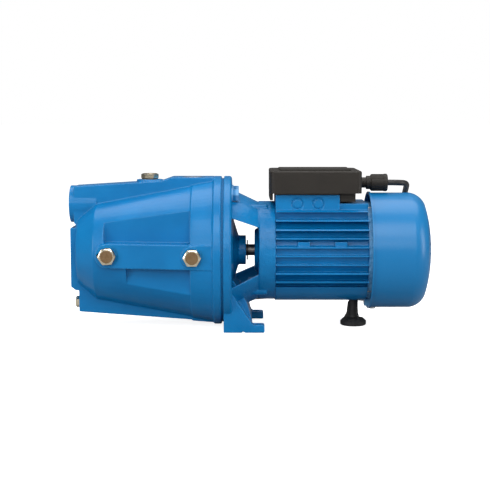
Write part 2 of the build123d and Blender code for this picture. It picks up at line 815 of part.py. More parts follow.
with BuildPart() as motor_housing:
    add(ring(motor_front_x, motor_rear_x, barrel_r))
    add(fins.part)
    add(belly.part)
    add(block(motor_front_x, motor_rear_x, -36.0, 36.0, shaft_z + 40, shaft_z + 58))
    add(block(motor_front_x, pad_x1, -pad_half, pad_half, shaft_z + fin_top, pad_top_z))
    for side in (-1, 1):
        for x in (motor_front_x + 32.2, motor_rear_x - 32.5):
            y0, y1 = sorted((side * 45.0, side * 57.0))
            add(block(x - 7.0, x + 7.0, y0, y1, shaft_z + 11.0, shaft_z + 15.4))
    add(ring(motor_front_x - 1, motor_rear_x + 1, housing_bore), mode=Mode.SUBTRACT)
    add(block(motor_front_x + 6, pad_x1 - 6, -34.0, 34.0, shaft_z + 57, pad_top_z + 1), mode=Mode.SUBTRACT)
    add(rod_z(shaft_z + 40, shaft_z + 60, 60.0, 0, 6.0), mode=Mode.SUBTRACT)
    with BuildSketch(Plane.XZ.offset(pad_half)):
        with Locations((motor_front_x + 25.4, shaft_z + 58.1), (motor_front_x + 49.5, shaft_z + 58.1)):
            Circle(7.2)
            Circle(5.2, mode=Mode.SUBTRACT)
    extrude(amount=-1.2, mode=Mode.SUBTRACT)
    for y, z in tie_places:
        add(rod_x(motor_front_x - 1, motor_rear_x + 1, y, z, tie_r + 0.2), mode=Mode.SUBTRACT)
    add(rod_z(foot_top_z - 1, foot_top_z + 9, foot_x, 0, foot_thread_r), mode=Mode.SUBTRACT)
write(motor_housing.part, "motor_housing")


# ---- ball bearings: rings with ball grooves, the balls, and a cage ----
def bearing(name, x0, width, bore, outer, count, ball_r):
    """Deep groove ball bearing as four pieces about the shaft."""
    pitch_r = (bore + outer) / 2
    mid_x = x0 + width / 2
    with BuildPart() as groove:
        with BuildSketch(Plane.XZ):
            with Locations((mid_x, shaft_z + pitch_r)):
                Circle(ball_r + ball_gap)
        revolve(axis=shaft_axis)
    with BuildPart() as inner_ring:
        add(ring(x0, x0 + width, bore + race_t, bore))
        add(groove.part, mode=Mode.SUBTRACT)
    with BuildPart() as outer_ring:
        add(ring(x0, x0 + width, outer, outer - race_t))
        add(groove.part, mode=Mode.SUBTRACT)
    places = [(mid_x, *on_circle(pitch_r, k * 360 / count)) for k in range(count)]
    with BuildPart() as ball_set:
        with Locations(*places):
            Sphere(ball_r)
    with BuildPart() as cage:
        add(ring(mid_x - ball_r * 1.25, mid_x + ball_r * 1.25, pitch_r + 0.9, pitch_r - 0.9))
        with Locations(*places):
            Sphere(ball_r + ball_gap, mode=Mode.SUBTRACT)
    write(inner_ring.part, name + "_inner_ring")
    write(outer_ring.part, name + "_outer_ring")
    write(ball_set.part, name + "_balls")
    write(cage.part, name + "_cage")


bearing("front_bearing", front_x, front_width, front_bore_r, front_outer_r, 8, 3.4)
bearing("rear_bearing", rear_x, rear_width, rear_bore_r, rear_outer_r, 7, 3.0)

# ---- rear end shield, wave washer and tie rods ----
shield_t = 5.0
shield_r = 57.5
pocket_x = rear_x + rear_width + 1.2
shield_end_x = pocket_x + 3.0
lug_angles = (40.0, -25.0, -90.0)
cowl_screw_x = motor_rear_x + 10.0
cowl_inner_r = cowl_r - sheet_t
with BuildPart() as rear_end_shield:
    add(ring(motor_rear_x, motor_rear_x + shield_t, shield_r))
    add(ring(motor_rear_x - 3.2, motor_rear_x, stator_r - fit_gap, 46.0))
    add(turned([
        (motor_rear_x + shield_t - 1, 0),
        (motor_rear_x + shield_t - 1, 27.0),
        (shield_end_x, 23.0),
        (shield_end_x, 0),
    ]))
    for angle in lug_angles:
        with BuildSketch(Plane.YZ.offset(motor_rear_x)):
            with Locations(Location((0, shaft_z, 0), (0, 0, angle))):
                with Locations((58.0, 0)):
                    Rectangle(2 * (cowl_inner_r - 58.0) - 1.0, 13.0)
        extrude(amount=16.0)
    add(ring(motor_rear_x - 1, pocket_x, rear_outer_r + fit_gap), mode=Mode.SUBTRACT)
    add(ring(motor_rear_x, shield_end_x + 1, shaft_fan_r + 1.5), mode=Mode.SUBTRACT)
    for y, z in tie_places:
        add(rod_x(motor_rear_x - 1, motor_rear_x + shield_t + 1, y, z, tie_r + 0.2), mode=Mode.SUBTRACT)
    for angle in lug_angles:
        axis_plane = Plane(
            origin=(cowl_screw_x, *on_circle(cowl_inner_r - 9.0, angle)),
            z_dir=(0, math.cos(math.radians(angle)), math.sin(math.radians(angle))),
        )
        with BuildSketch(axis_plane):
            Circle(1.97)
        extrude(amount=12.0, mode=Mode.SUBTRACT)
write(rear_end_shield.part, "rear_end_shield")
write(ring(rear_x + rear_width, pocket_x, rear_outer_r - 0.3, rear_outer_r - 3.2), "wave_washer")
tie_tip_x = motor_front_x - 14.0
tie_rods = [
    hex_bolt_x(motor_rear_x + shield_t, tie_tip_x, y, z, 8.0, 3.5, tie_r - fit_gap) for y, z in tie_places
]
write(Compound(tie_rods), "tie_rods")

# ---- fan, its clip, and the pressed sheet cover ----
fan_x0 = shield_end_x + 4.0
fan_disc_x = fan_x0 + 3.0
fan_r = cowl_r - 10.5
blade_count = 9
with BuildPart() as fan:
    add(ring(fan_x0, fan_x0 + 18.0, 13.0, shaft_fan_r + fit_gap))
    add(ring(fan_disc_x, fan_disc_x + 2.2, fan_r, 12.0))
    with BuildSketch(Plane.YZ.offset(fan_disc_x + 1)):
        with Locations((0, shaft_z)):
            with PolarLocations(35.0, blade_count):
                Rectangle(46.0, 2.0)
    extrude(amount=16.0)
write(fan.part, "fan")
write(ring(fan_x0 + 18.2, fan_x0 + 19.4, 9.4, shaft_fan_r + fit_gap), "fan_clip")

crown_r = 10.0
with BuildPart() as fan_cover:
    with BuildSketch(Plane.XZ):
        with BuildLine():
            rim = Line((cowl_front_x, shaft_z + cowl_r), (cowl_bend_x, shaft_z + cowl_r))
            slope = ThreePointArc(
                rim @ 1,
                (cowl_bend_x + 10.5, shaft_z + cowl_r - 4.2),
                (cowl_end_x - 7.4, shaft_z + cowl_r - 10.0),
            )
            dome = ThreePointArc(
                slope @ 1, (cowl_end_x - 1.9, shaft_z + cowl_r - 30.5), (cowl_end_x, shaft_z + crown_r)
            )
            crown = Polyline(
                dome @ 1,
                (cowl_end_x, shaft_z),
                (cowl_end_x - sheet_t, shaft_z),
                (cowl_end_x - sheet_t, shaft_z + crown_r),
            )
            inner_dome = ThreePointArc(
                crown @ 1,
                (cowl_end_x - 3.1, shaft_z + cowl_r - 30.9),
                (cowl_end_x - 8.4, shaft_z + cowl_r - 10.7),
            )
            inner_slope = ThreePointArc(
                inner_dome @ 1,
                (cowl_bend_x + 9.8, shaft_z + cowl_r - 5.2),
                (cowl_bend_x, shaft_z + cowl_r - sheet_t),
            )
            Line(inner_slope @ 1, (cowl_front_x, shaft_z + cowl_r - sheet_t))
            Line((cowl_front_x, shaft_z + cowl_r - sheet_t), rim @ 0)
        make_face()
    revolve(axis=shaft_axis)
    add(ring(cowl_front_x, cowl_front_x + 2.2, cowl_r + 1.2, cowl_r - 0.2))
    with BuildSketch(Plane.YZ.offset(cowl_bend_x)):
        with Locations((0, shaft_z)):
            with PolarLocations(23.0, 10):
                SlotOverall(14.0, 3.4)
            with PolarLocations(43.5, 24):
                SlotOverall(17.0, 3.4)
    extrude(amount=cowl_end_x - cowl_bend_x + 1, mode=Mode.SUBTRACT)
    for angle in lug_angles:
        axis_plane = Plane(
            origin=(cowl_screw_x, *on_circle(cowl_inner_r - 1.0, angle)),
            z_dir=(0, math.cos(math.radians(angle)), math.sin(math.radians(angle))),
        )
        with BuildSketch(axis_plane):
            Circle(2.3)
        extrude(amount=4.0, mode=Mode.SUBTRACT)
write(fan_cover.part, "fan_cover")


def pan_screw(head_r, head_t, thread_r, thread_l, slot_w):
    """Cross-slotted pan screw along +Z, its head seated at z = 0."""
    with BuildPart() as screw:
        Cylinder(head_r, head_t, align=(Align.CENTER, Align.CENTER, Align.MIN))
        fillet(screw.edges().sort_by(Axis.Z)[-1], head_t * 0.45)
        Cylinder(thread_r, thread_l, align=(Align.CENTER, Align.CENTER, Align.MAX))
        with Locations((0, 0, head_t)):
            Box(head_r * 1.1, slot_w, head_t, mode=Mode.SUBTRACT)
            Box(slot_w, head_r * 1.1, head_t, mode=Mode.SUBTRACT)
    return screw.part


cowl_screw = pan_screw(3.8, 2.4, 1.94, 8.5, 1.0)
cowl_screws = []
for angle in lug_angles:
    seat = Plane(
        origin=(cowl_screw_x, *on_circle(cowl_r, angle)),
        x_dir=(1, 0, 0),
        z_dir=(0, math.cos(math.radians(angle)), math.sin(math.radians(angle))),
    )
    cowl_screws.append(cowl_screw.moved(seat.location))
write(Compound(cowl_screws), "fan_cover_screws")

# ---- terminal box on top of the motor ----
box_mid_x = (box_x0 + box_x1) / 2
box_len = box_x1 - box_x0
corner_r = 6.0
lid_screw_x = box_len / 2 - 7.0
lid_screw_y = box_half - 7.0
lid_screw_places = [
    (box_mid_x + sx * lid_screw_x, sy * lid_screw_y) for sx in (-1, 1) for sy in (-1, 1)
]
with BuildPart() as terminal_box_gasket:
    add(block(motor_front_x + 1, pad_x1 - 1, -pad_half + 1, pad_half - 1, pad_top_z, box_z0))
    add(block(motor_front_x + 5, pad_x1 - 5, -35.0, 35.0, pad_top_z - 1, box_z0 + 1), mode=Mode.SUBTRACT)
write(terminal_box_gasket.part, "terminal_box_gasket")
capacitor_r = 15.5
capacitor_z = shaft_z + 57 + capacitor_r
gland_thread_r = cord_r + 1.1
well_x1 = box_x1 - 6.6
well_z = box_z0 - 6.8
lip_gap = 2 * box_wall + 0.4
with BuildPart() as terminal_box_base:
    with BuildSketch(Plane.XY.offset(box_z0)):
        with Locations((box_mid_x, 0)):
            RectangleRounded(box_len, 2 * box_half, corner_r)
    extrude(amount=box_split_z - box_z0)
    add(block(box_x0, box_x0 + 3.4, -pad_half + 2, pad_half - 2, box_z0 - 8.3, box_z0))
    add(block(pad_x1 + 0.6, well_x1, -pad_half + 2, pad_half - 2, box_z0 - 9.8, box_z0))
    with BuildSketch(Plane.XY.offset(box_split_z - 0.01)):
        with Locations((box_mid_x, 0)):
            RectangleRounded(box_len - lip_gap, 2 * box_half - lip_gap, corner_r - box_wall)
            RectangleRounded(box_len - 4 * box_wall, 2 * box_half - 4 * box_wall, 2.0, mode=Mode.SUBTRACT)
    extrude(amount=3.0)
    add(block(motor_front_x + 8, pad_x1 - 8, -32.0, 32.0, box_z0 - 1, box_split_z + 1), mode=Mode.SUBTRACT)
    well = block(pad_x1 + 3.6, well_x1 - 3, 5 - pad_half, pad_half - 5, well_z, box_split_z + 1)
    add(well, mode=Mode.SUBTRACT)
    add(block(well_x1 - 3, box_x1, -9.0, 9.0, box_split_z, box_split_z + 5), mode=Mode.SUBTRACT)
    for x, y in lid_screw_places:
        add(rod_z(box_split_z - 1, box_split_z + 8, x, y, 3.6))
        add(rod_z(box_z0 + 1, box_split_z + 9, x, y, 1.3), mode=Mode.SUBTRACT)
write(terminal_box_base.part, "terminal_box_base")

with BuildPart() as terminal_box_lid:
    with BuildSketch(Plane.XY.offset(box_split_z)):
        with Locations((box_mid_x, 0)):
            RectangleRounded(box_len, 2 * box_half, corner_r)
    extrude(amount=box_top_z - box_split_z)
    fillet(terminal_box_lid.faces().sort_by(Axis.Z)[-1].edges(), 2.0)
    with BuildSketch(Plane.XY.offset(box_split_z)):
        with Locations((box_mid_x, 0)):
            RectangleRounded(box_len - 2 * box_wall, 2 * box_half - 2 * box_wall, corner_r - box_wall + 0.1)
    extrude(amount=box_top_z - box_split_z - box_wall, mode=Mode.SUBTRACT)
    with BuildSketch(Plane.XY.offset(box_top_z - 0.5)):
        with Locations((box_mid_x, 0)):
            RectangleRounded(box_len - 2 * lid_panel_inset, 2 * box_half - 2 * lid_panel_inset, 3.0)
    extrude(amount=lid_panel_t + 0.5)
    for x, y in lid_screw_places:
        add(rod_z(box_split_z + 8.2, box_top_z - 1, x, y, 5.2))
        add(rod_z(box_split_z, box_top_z + 1, x, y, 1.8), mode=Mode.SUBTRACT)
        add(rod_z(box_top_z - 2.6, box_top_z + 1, x, y, 3.3), mode=Mode.SUBTRACT)
    add(rod_x(box_x1 - 4, box_x1 + 1, 0, gland_z, gland_thread_r), mode=Mode.SUBTRACT)
write(terminal_box_lid.part, "terminal_box_lid")

lid_screw = pan_screw(3.0, 2.0, 1.25, 17.0, 0.8)
lid_screws = [lid_screw.moved(Location((x, y, box_top_z - 2.6))) for x, y in lid_screw_places]
write(Compound(lid_screws), "terminal_box_lid_screws")

with BuildPart() as run_capacitor:
    add(rod_x(motor_front_x + 9, motor_front_x + 58, 0, capacitor_z, capacitor_r))
    fillet(run_capacitor.edges().filter_by(GeomType.CIRCLE), 1.5)
    add(rod_x(motor_front_x + 57, motor_front_x + 60, 0, capacitor_z, 10.0))
    for y in (-5.0, 5.0):
        add(block(motor_front_x + 59, motor_front_x + 64, y - 0.4, y + 0.4, capacitor_z - 3, capacitor_z + 3))
write(run_capacitor.part, "run_capacitor")

block_x0 = pad_x1 + 3.9
block_x1 = well_x1 - 3.3
with BuildPart() as terminal_block:
    add(block(block_x0, block_x1, -24.0, 24.0, well_z, well_z + 15.0))
    for y in (-16.0, 0.0, 16.0):
        add(rod_z(well_z + 6, well_z + 16, (block_x0 + block_x1) / 2, y, 2.8), mode=Mode.SUBTRACT)
        add(rod_x(block_x0 - 1, block_x1 + 1, y, well_z + 9.5, 1.9), mode=Mode.SUBTRACT)
        add(block(block_x0 - 1, block_x1 + 1, y + 7.4, y + 8.6, well_z + 11, well_z + 16), mode=Mode.SUBTRACT)
write(terminal_block.part, "terminal_block")

# ---- cable gland: body, clamping nut, seal ----
gland_neck_r = 6.2
gland_collar_r = 7.4
gland_ring_x = box_x1 + 9.2
gland_nut_x = gland_ring_x + 5.0
gland_exit_x = gland_nut_x + 20.0
cord_hole_r = cord_r + fit_gap
with BuildPart() as gland_body:
    with BuildSketch(Plane.XZ):
        with BuildLine():
            Polyline(
                (box_x1 - box_wall - 3.5, gland_z + cord_hole_r),
                (box_x1 - box_wall - 3.5, gland_z + gland_thread_r - fit_gap),
                (box_x1, gland_z + gland_thread_r - fit_gap),
                (box_x1, gland_z + gland_neck_r),
                (gland_ring_x, gland_z + gland_neck_r),
                (gland_ring_x, gland_z + 8.0),
                (gland_nut_x, gland_z + 8.0),
                (gland_nut_x, gland_z + gland_collar_r),
                (gland_nut_x + 10.5, gland_z + gland_collar_r),
                (gland_nut_x + 10.5, gland_z + cord_hole_r),
                close=True,
            )
        make_face()
    revolve(axis=Axis((0, 0, gland_z), (1, 0, 0)))
write(gland_body.part, "gland_body")

rib_count = 18
with BuildPart() as gland_nut:
    with BuildSketch(Plane.XZ):
        with BuildLine():
            Polyline(
                (gland_nut_x, gland_z + gland_collar_r + fit_gap),
                (gland_nut_x, gland_z + 9.2),
                (gland_nut_x + 0.8, gland_z + 9.7),
                (gland_nut_x + 16.0, gland_z + 9.7),
                (gland_nut_x + 16.0, gland_z + 10.5),
                (gland_exit_x - 1.0, gland_z + 10.5),
                (gland_exit_x, gland_z + 9.5),
                (gland_exit_x, gland_z + cord_hole_r),
                (gland_exit_x - 3.0, gland_z + cord_hole_r),
                (gland_exit_x - 3.0, gland_z + gland_collar_r + fit_gap),
                close=True,
            )
        make_face()
    revolve(axis=Axis((0, 0, gland_z), (1, 0, 0)))
    with BuildSketch(Plane.YZ.offset(gland_nut_x + 1.2)):
        with Locations((0, gland_z)):
            with PolarLocations(9.7, rib_count):
                Rectangle(0.8, 1.6)
    extrude(amount=14.8)
write(gland_nut.part, "gland_nut")

with BuildPart() as gland_seal:
    with BuildSketch(Plane.YZ.offset(gland_nut_x + 10.5)):
        with Locations((0, gland_z)):
            Circle(gland_collar_r - 0.1)
            Circle(cord_hole_r, mode=Mode.SUBTRACT)
    extrude(amount=gland_exit_x - 3.0 - gland_nut_x - 10.5)
write(gland_seal.part, "gland_seal")

# ---- rubber foot under the motor, and its screw ----
foot_r = 15.5
foot_stem_r = 5.5
with BuildPart() as support_foot:
    with BuildSketch(Plane.XZ):
        with BuildLine():
            Polyline(
                (foot_x, 0),
                (foot_x + foot_r - 1.0, 0),
                (foot_x + foot_r, 1.0),
                (foot_x + foot_r, 5.0),
                (foot_x + foot_r - 3.0, 8.0),
                (foot_x + foot_stem_r + 0.8, 9.5),
                (foot_x + foot_stem_r, 12.0),
                (foot_x + foot_stem_r, foot_top_z),
                (foot_x, foot_top_z),
                close=True,
            )
        make_face()
    revolve(axis=Axis((foot_x, 0, 0), (0, 0, 1)))
    for angle in (60.0, 180.0, 300.0):
        rib_plane = Plane(
            origin=(foot_x, 0, 0),
            x_dir=(math.cos(math.radians(angle)), math.sin(math.radians(angle)), 0),
            z_dir=(-math.sin(math.radians(angle)), math.cos(math.radians(angle)), 0),
        )
        with BuildSketch(rib_plane.offset(-1.6)):
            with BuildLine():
                Polyline((2.0, -5.0), (13.0, -5.0), (8.0, -15.0), (6.5, -28.0), (2.0, -28.0), close=True)
            make_face()
        extrude(amount=3.2)
    add(rod_z(-1, 7.0, foot_x, 0, 5.4), mode=Mode.SUBTRACT)
    add(rod_z(0, foot_top_z + 1, foot_x, 0, 3.0), mode=Mode.SUBTRACT)
write(support_foot.part, "support_foot")
with BuildPart() as foot_screw:
    add(rod_z(4.0, 7.0, foot_x, 0, 5.0))
    add(rod_z(6.0, foot_top_z + 8.0, foot_x, 0, foot_thread_r - fit_gap))
    add(rod_z(3.0, 5.6, foot_x, 0, 1.6), mode=Mode.SUBTRACT)
write(foot_screw.part, "support_foot_screw")

# ---- mains lead: laid tube, storage coil, tail, and a plug ----
lead_route = [
    (gland_exit_x, 0, gland_z),
    (gland_exit_x + 14.7, 0, gland_z),
    (gland_exit_x + 25.2, 11, gland_z - 1.5),
    (gland_exit_x + 26.7, 32, gland_z - 9.5),
    (gland_exit_x + 26.7, 53, gland_z - 23),
    (gland_exit_x + 25.7, 71, gland_z - 42),
    (gland_exit_x + 24.7, 85, gland_z * 0.608),
    (gland_exit_x + 23.7, 97, gland_z * 0.450),
    (gland_exit_x + 21.7, 110, gland_z * 0.292),
    (gland_exit_x + 17.7, 127, gland_z * 0.152),
    (166, 149, 10),
    (153, 172, 3.9),
    (135, 191, 3.7),
    (110, 203, 3.7),
    (82, 208, 3.7),
    (53, 207, 3.7),
    (25, 202, 3.7),
    (-2, 193, 3.7),
    (-27, 184.5, 3.7),
    (-54, 178.5, 3.7),
    (-80, 174.5, 3.7),
    (-104, 172, 3.7),
    (-125, 171.2, 3.7),
]
tail_route = [
    (-112.6, 87.5, 10.8),
    (-98.5, 91.8, 12.5),
    (-84, 97, 16.5),
    (-68, 101.5, 18.5),
]


def laid_tube(route, name):
    """Round cord of straight runs joined by tangent arcs, each arc as large as its runs allow."""
    points = [Vector(*p) for p in route]
    runs = [b - a for a, b in zip(points, points[1:])]
    radii = []
    turned_length = 0.0
    for before, after in zip(runs, runs[1:]):
        half = math.radians(before.get_angle(after) / 2)
        radius = 0.45 * min(before.length, after.length) / math.tan(half)
        radii.append(radius)
        turned_length += radius * 2 * (half - math.tan(half))
    with BuildPart() as tube:
        with BuildLine() as path:
            FilletPolyline(*points, radius=radii)
        with BuildSketch(Plane(origin=points[0], z_dir=runs[0])):
            Circle(cord_r)
        sweep()
    length = sum(run.length for run in runs) + turned_length
    section = math.pi * cord_r ** 2
    print(name, "radii", [round(r) for r in radii])
    print(name, "length", round(length, 1))
    print(name, "volume over section times length", round(tube.part.volume / (section * length), 4))
    write(tube.part, name)


laid_tube(lead_route, "mains_cable")
laid_tube(tail_route, "cable_tail")
with BuildPart() as cable_coil:
    with BuildSketch():
        with Locations(coil_centre):
            Circle(coil_outer_r)
            Circle(coil_inner_r, mode=Mode.SUBTRACT)
    extrude(amount=coil_h)
    fillet(cable_coil.edges(), coil_h * 0.24)
write(cable_coil.part, "cable_coil")

# the plug lies on its side on the floor, its cord entry raised by the body's radius
plug_r = 18.5
plug_entry = Vector(-68.0, 101.5, plug_r)
plug_way = Vector(0.963, 0.271, 0).normalized()
plug_plane = Plane(origin=plug_entry, x_dir=(0, 0, 1), z_dir=plug_way)
with BuildPart() as mains_plug:
    with BuildSketch(plug_plane):
        Circle(5.2)
    with BuildSketch(plug_plane.offset(17.0)):
        Circle(8.0)
    loft()
    with BuildSketch(plug_plane.offset(17.0)):
        Circle(9.0)
    with BuildSketch(plug_plane.offset(27.0)):
        Circle(plug_r)
    loft()
    with BuildSketch(plug_plane.offset(27.0)):
        Circle(plug_r)
    extrude(amount=20.0)
    for side in (-1, 1):
        with BuildSketch(plug_plane.offset(47.0)):
            with Locations((0, side * 9.5)):
                Circle(2.4)
        extrude(amount=-12.0, mode=Mode.SUBTRACT)
write(mains_plug.part, "mains_plug")
plug_pins = []
for side in (-1, 1):
    with BuildPart() as pin:
        with BuildSketch(plug_plane.offset(35.0)):
            with Locations((0, side * 9.5)):
                Circle(2.4 - fit_gap)
        extrude(amount=31.0)
        fillet(pin.faces().sort_by(Axis(tuple(plug_entry), tuple(plug_way)))[-1].edges(), 1.8)
    plug_pins.append(pin.part)
write(Compound(plug_pins), "plug_pins")
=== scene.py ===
import math

import bmesh
import bpy
from mathutils import Matrix, Vector


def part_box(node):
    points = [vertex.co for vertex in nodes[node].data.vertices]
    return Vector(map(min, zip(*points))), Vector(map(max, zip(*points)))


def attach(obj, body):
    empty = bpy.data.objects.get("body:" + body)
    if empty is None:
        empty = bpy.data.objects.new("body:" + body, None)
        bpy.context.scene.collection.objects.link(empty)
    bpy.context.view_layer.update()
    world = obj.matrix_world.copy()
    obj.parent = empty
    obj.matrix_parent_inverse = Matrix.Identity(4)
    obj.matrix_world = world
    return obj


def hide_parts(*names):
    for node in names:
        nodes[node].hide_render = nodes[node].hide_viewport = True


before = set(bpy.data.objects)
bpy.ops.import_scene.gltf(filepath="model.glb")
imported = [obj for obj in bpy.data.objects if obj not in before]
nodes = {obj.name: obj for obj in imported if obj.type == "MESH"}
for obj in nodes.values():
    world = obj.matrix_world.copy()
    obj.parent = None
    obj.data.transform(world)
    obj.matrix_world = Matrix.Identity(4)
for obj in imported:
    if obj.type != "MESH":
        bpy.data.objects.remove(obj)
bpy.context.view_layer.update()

# ---- View ----
# The pump is seen square on from the side of its gauge plugs, from a little above, through a long lens.
# The camera stands back by three times the pump's length, so that both ends keep their shape.
stand_back = 1.4
eye_height = 0.25
eye_x = -0.0137
tilt = math.radians(6.27)
lens_length = 86.5
view = bpy.data.cameras.new("view")
view.sensor_width = 36.0
view.lens = lens_length
camera = bpy.data.objects.new("view", view)
camera.location = (eye_x, -stand_back, eye_height)
camera.rotation_euler = (math.pi / 2 - tilt, 0, 0)
bpy.context.scene.collection.objects.link(camera)
bpy.context.scene.camera = camera


# ---- Mains lead ----
# A round rubber-jacketed lead, 7 mm thick and about one and a half metres long. It leaves the gland level,
# turns down behind the fan cover, lies along the floor behind the motor and is wound up behind the pump
# body, with a moulded plug on its end.
def settle(t):
    """Smooth step from 0 to 1 for the turns' shifts between rings and layers."""
    t = min(max(t, 0.0), 1.0)
    return t * t * (3 - 2 * t)


lead_diameter = 0.007
lead_route = [
    (155.3, 0, 171),
    (170, 0, 171),
    (180.5, 11, 169.5),
    (182, 32, 161.5),
    (182, 53, 148),
    (181, 71, 129),
    (180, 85, 104),
    (179, 97, 77),
    (177, 110, 50),
    (173, 127, 26),
    (166, 149, 10),
    (153, 172, 3.9),
    (135, 191, 3.7),
    (110, 203, 3.7),
    (82, 208, 3.7),
    (53, 207, 3.7),
    (25, 202, 3.7),
    (-2, 193, 3.7),
    (-27, 184.5, 3.7),
    (-54, 178.5, 3.7),
    (-80, 174.5, 3.7),
    (-104, 172, 3.7),
    (-125, 171.2, 3.7),
]
tail_route = [(-98.5, 91.8, 12.5), (-84, 97.0, 16.5), (-68, 101.5, 18.5)]
coil_centre = (-125, 128)
outer_ring, inner_ring = 42.4, 35.1
low_layer, high_layer = 3.6, 10.8
coil_start, coil_end = 90, 1365
drop_angle, climb_angle, move_angle = 355, 685, 1010
points_per_turn = 16
step = (coil_end - coil_start) / round((coil_end - coil_start) * points_per_turn / 360)
coil_route = []
angle = coil_start + step
while angle < coil_end + step / 2:
    drop_in = settle((angle - drop_angle) / 75)
    climb = settle((angle - climb_angle) / 70)
    move_out = settle((angle - move_angle) / 75)
    radius = outer_ring + (outer_ring - inner_ring) * (move_out - drop_in)
    radius /= math.cos(math.pi / points_per_turn)
    turn = math.radians(angle)
    coil_route.append((
        coil_centre[0] + radius * math.cos(turn),
        coil_centre[1] + radius * math.sin(turn),
        low_layer + (high_layer - low_layer) * climb,
    ))
    angle += step

lead_curve = bpy.data.curves.new("mains_lead", "CURVE")
lead_curve.dimensions = "3D"
lead_curve.bevel_depth = 1.0
lead_curve.bevel_resolution = 6
lead_curve.resolution_u = 10
lead_curve.use_fill_caps = True
route = lead_route + coil_route + tail_route
spline = lead_curve.splines.new("NURBS")
spline.points.add(len(route) - 1)
for point, place in zip(spline.points, route):
    point.co = (*[value / 1000 for value in place], 1)
    point.radius = lead_diameter / 2
spline.order_u = 3
spline.use_endpoint_u = True
mains_lead = bpy.data.objects.new("mains_lead", lead_curve)
bpy.context.scene.collection.objects.link(mains_lead)
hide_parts("mains_cable", "cable_coil", "cable_tail")
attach(mains_lead, "root")


class Wire:
    """A shader socket that can be used in sums."""

    def __init__(self, finish, socket):
        self.finish = finish
        self.socket = socket

    def sum(self, operation, first, second):
        return self.finish.node("ShaderNodeMath", {"operation": operation}, {0: first, 1: second})

    def __add__(self, other):
        return self.sum("ADD", self, other)

    def __radd__(self, other):
        return self.sum("ADD", other, self)

    def __sub__(self, other):
        return self.sum("SUBTRACT", self, other)

    def __rsub__(self, other):
        return self.sum("SUBTRACT", other, self)

    def __mul__(self, other):
        return self.sum("MULTIPLY", self, other)

    def __rmul__(self, other):
        return self.sum("MULTIPLY", other, self)

    def __pow__(self, other):
        return self.sum("POWER", self, other)


class Finish:
    """One procedural finish: its nodes, and a shader whose even values are set on its own sockets."""

    def __init__(self, name, even):
        self.material = bpy.data.materials.new(name)
        self.material.use_nodes = True
        self.tree = self.material.node_tree
        self.surface = self.tree.nodes["Principled BSDF"]
        for socket, value in even.items():
            self.surface.inputs[socket].default_value = value
        self.place = self.node("ShaderNodeTexCoord", {}, {}, "Object")

    def node(self, kind, settings, sockets, output=0):
        """Add a node of this kind: settings first, then its sockets' values or wires."""
        made = self.tree.nodes.new(kind)
        for setting, value in settings.items():
            setattr(made, setting, value)
        for socket, value in sockets.items():
            if isinstance(value, Wire):
                self.tree.links.new(value.socket, made.inputs[socket])
            else:
                made.inputs[socket].default_value = value
        return Wire(self, made.outputs[output])

    def grain(self, scale, detail=2.0, roughness=0.5, place=None):
        """Soft noise, from 0 to 1, with scale in features to the metre."""
        sockets = {"Vector": place or self.place, "Scale": scale, "Detail": detail, "Roughness": roughness}
        return self.node("ShaderNodeTexNoise", {}, sockets)

    def stretched(self, factors):
        """Object coordinates pulled out along an axis, for brushed and drawn finishes."""
        return self.node("ShaderNodeVectorMath", {"operation": "MULTIPLY"}, {0: self.place, 1: factors})

    def step(self, value, low, high):
        """Smooth step from 0 at low to 1 at high."""
        sockets = {"Value": value, "From Min": low, "From Max": high}
        return self.node("ShaderNodeMapRange", {"interpolation_type": "SMOOTHSTEP"}, sockets)

    def blend(self, factor, first, second):
        """Mix of two colours."""
        return self.node("ShaderNodeMix", {"data_type": "RGBA"}, {0: factor, 6: first, 7: second}, 2)

    def edges(self):
        """Near 0 in hollows, 0.5 on flats and 1 on outer edges of a finely divided mesh."""
        return self.node("ShaderNodeNewGeometry", {}, {}, "Pointiness")

    def dress(self, colour=None, roughness=None, height=None, depth=0.001, strength=1.0, coat=None):
        """Wire what changes over the surface to the shader."""
        normal = None
        if height is not None:
            sockets = {"Height": height, "Distance": depth, "Strength": strength}
            normal = self.node("ShaderNodeBump", {}, sockets)
        changing = {"Base Color": colour, "Roughness": roughness, "Coat Weight": coat, "Normal": normal}
        for socket, wire in changing.items():
            if wire is not None:
                self.tree.links.new(wire.socket, self.surface.inputs[socket])


jacket = Finish("cord_jacket", {"Specular IOR Level": 0.45})
jacket_grain = jacket.grain(900, 3)
jacket.dress(
    jacket.blend(jacket.grain(60), (0.012, 0.012, 0.013, 1), (0.022, 0.021, 0.021, 1)),
    0.38 + 0.14 * jacket_grain,
    jacket_grain,
    0.0001,
)
lead_curve.materials.append(jacket.material)


# The far end is a two pin plug, moulded onto the lead in the same black rubber, with nickel plated pins.
moulded_plug = Finish("moulded_plug", {"Specular IOR Level": 0.4})
plug_spark = moulded_plug.grain(1500, 4)
moulded_plug.dress(
    moulded_plug.blend(moulded_plug.grain(80), (0.013, 0.013, 0.014, 1), (0.024, 0.023, 0.023, 1)),
    0.42 + 0.2 * plug_spark,
    plug_spark,
    0.00012,
)
nickel = Finish("nickel_plate", {"Metallic": 1.0})
nickel_draw = nickel.grain(1200, 3, 0.6, nickel.stretched((0.15, 1, 1)))
nickel.dress(
    nickel.blend(nickel.grain(200), (0.62, 0.60, 0.56, 1), (0.74, 0.72, 0.67, 1)),
    0.14 + 0.16 * nickel_draw,
    nickel_draw,
    0.00003,
)


def paint_nodes(finish, *names):
    """Give a finish to nodes whose shape is kept."""
    for name in names:
        for slot in nodes[name].material_slots:
            slot.material = finish.material


paint_nodes(jacket, "mains_cable", "cable_coil", "cable_tail")
paint_nodes(moulded_plug, "mains_plug")
paint_nodes(nickel, "plug_pins")


